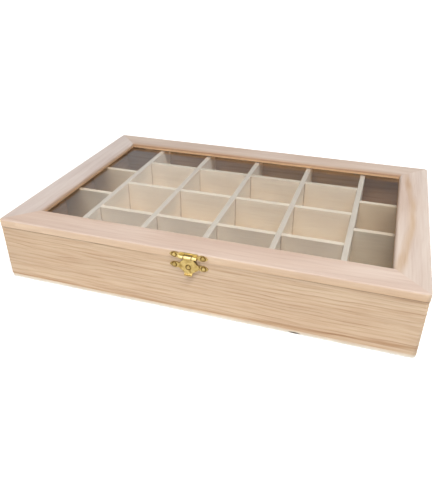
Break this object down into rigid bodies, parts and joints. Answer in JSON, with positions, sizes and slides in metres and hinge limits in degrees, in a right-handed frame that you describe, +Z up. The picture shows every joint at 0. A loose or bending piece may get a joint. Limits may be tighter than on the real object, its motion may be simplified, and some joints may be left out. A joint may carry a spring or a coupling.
{
  "type": "compartmented display box",
  "caption": "Shallow wooden display box with a hinged, glazed lid, a small swing clasp and crossed dividers that form compartments for mineral specimens.",
  "frame": {"origin": "middle of the flat underside that the case rests on", "axes": "+X along the front to the right as seen from the front, +Y towards the hinged back, +Z up"},
  "size_m": [0.3, 0.2055, 0.05],
  "materials": {
    "board_wood": "raw, sanded, straight grain",
    "rail_wood": "raw, sanded, pale grain",
    "base_plywood": "raw plywood",
    "divider_wood": "raw, sanded",
    "glass": "clear",
    "point_steel": "bright",
    "clasp_brass": "bright plated",
    "hinge_brass": "bright plated"
  },
  "bodies": {
    "case": {"back_board": "board_wood", "base_panel": "base_plywood", "clasp_lower_nails": "clasp_brass", "clasp_lower_plate": "clasp_brass", "clasp_stud": "clasp_brass", "cross_divider_back": "divider_wood", "cross_divider_front": "divider_wood", "cross_divider_middle": "divider_wood", "front_board": "board_wood", "hinge_lower_leaf_left": "hinge_brass", "hinge_lower_leaf_right": "hinge_brass", "hinge_pin_left": "hinge_brass", "hinge_pin_right": "hinge_brass", "left_board": "board_wood", "long_divider_1": "divider_wood", "long_divider_2": "divider_wood", "long_divider_3": "divider_wood", "long_divider_4": "divider_wood", "long_divider_5": "divider_wood", "lower_hinge_screws": "hinge_brass", "right_board": "board_wood", "short_divider_back_left": "divider_wood", "short_divider_back_right": "divider_wood", "short_divider_front_left": "divider_wood", "short_divider_front_right": "divider_wood"},
    "lid": {"clasp_pin": "clasp_brass", "clasp_upper_nails": "clasp_brass", "clasp_upper_plate": "clasp_brass", "glass_pane": "glass", "glazing_points": "point_steel", "hinge_upper_leaf_left": "hinge_brass", "hinge_upper_leaf_right": "hinge_brass", "lid_back_rail": "rail_wood", "lid_front_rail": "rail_wood", "lid_left_rail": "rail_wood", "lid_right_rail": "rail_wood", "upper_hinge_screws": "hinge_brass"},
    "tongue": {"clasp_tongue": "clasp_brass"}
  },
  "joints": [
    {"name": "lid_hinge", "type": "hinge", "parent": "case", "child": "lid", "pos_m": [0, 0.1012, 0.044], "axis": [-1, 0, 0], "range_deg": [0, 180]},
    {"name": "tongue_hinge", "type": "hinge", "parent": "lid", "child": "tongue", "pos_m": [-0.0008, -0.10155, 0.0468], "axis": [-1, 0, 0], "range_deg": [0, 180]}
  ]
}
